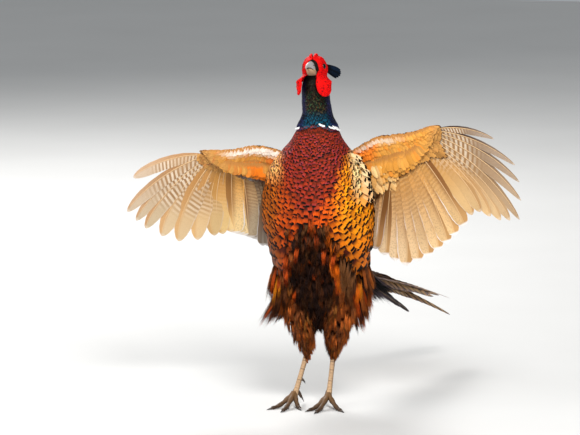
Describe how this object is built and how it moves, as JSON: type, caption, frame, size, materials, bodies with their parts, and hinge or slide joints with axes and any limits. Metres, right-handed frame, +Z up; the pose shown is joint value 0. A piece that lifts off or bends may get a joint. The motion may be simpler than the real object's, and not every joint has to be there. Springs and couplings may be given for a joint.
{
  "type": "common pheasant",
  "caption": "Life-size still model of a cock pheasant standing upright on both feet, chest out, wings spread and tail held out behind.",
  "frame": {"origin": "on the floor below the middle of the whole bird, wings and tail included", "axes": "+Z up; the breast faces -Y, the tail points to +Y, the bird's left wing to +X"},
  "size_m": [0.67, 0.5692, 0.5932],
  "materials": {
    "breast_feathers": "glossy copper-maroon feathers with black tips, dark belly",
    "neck_feathers": "dark glossy feathers with green and blue sheen",
    "face_skin": "bare red skin with fine papillae",
    "bill_horn": "pale horn, smooth",
    "eye_glass": "glossy dark eye with an orange-brown iris",
    "wing_feathers": "buff feathers barred with brown and white",
    "tail_feathers": "buff brown feathers with dark bars and purplish edges",
    "thigh_feathers": "loose chestnut brown feathers",
    "leg_scales": "greyish horn scales",
    "claw_horn": "dark horn"
  },
  "bodies": {
    "root": {"torso": "breast_feathers", "neck": "neck_feathers", "head": "neck_feathers", "bill_upper": "bill_horn", "bill_lower": "bill_horn", "eye_left": "eye_glass", "face_left": "face_skin", "ear_tuft_left": "neck_feathers", "wing_left": "wing_feathers", "thigh_left": "thigh_feathers", "shank_left": "leg_scales", "spur_left": "claw_horn", "foot_left": "leg_scales", "claw_inner_left": "claw_horn", "claw_middle_left": "claw_horn", "claw_outer_left": "claw_horn", "hind_toe_left": "leg_scales", "claw_hind_left": "claw_horn", "eye_right": "eye_glass", "face_right": "face_skin", "ear_tuft_right": "neck_feathers", "wing_right": "wing_feathers", "thigh_right": "thigh_feathers", "shank_right": "leg_scales", "spur_right": "claw_horn", "foot_right": "leg_scales", "claw_inner_right": "claw_horn", "claw_middle_right": "claw_horn", "claw_outer_right": "claw_horn", "hind_toe_right": "leg_scales", "claw_hind_right": "claw_horn", "tail": "tail_feathers"}
  },
  "joints": []
}
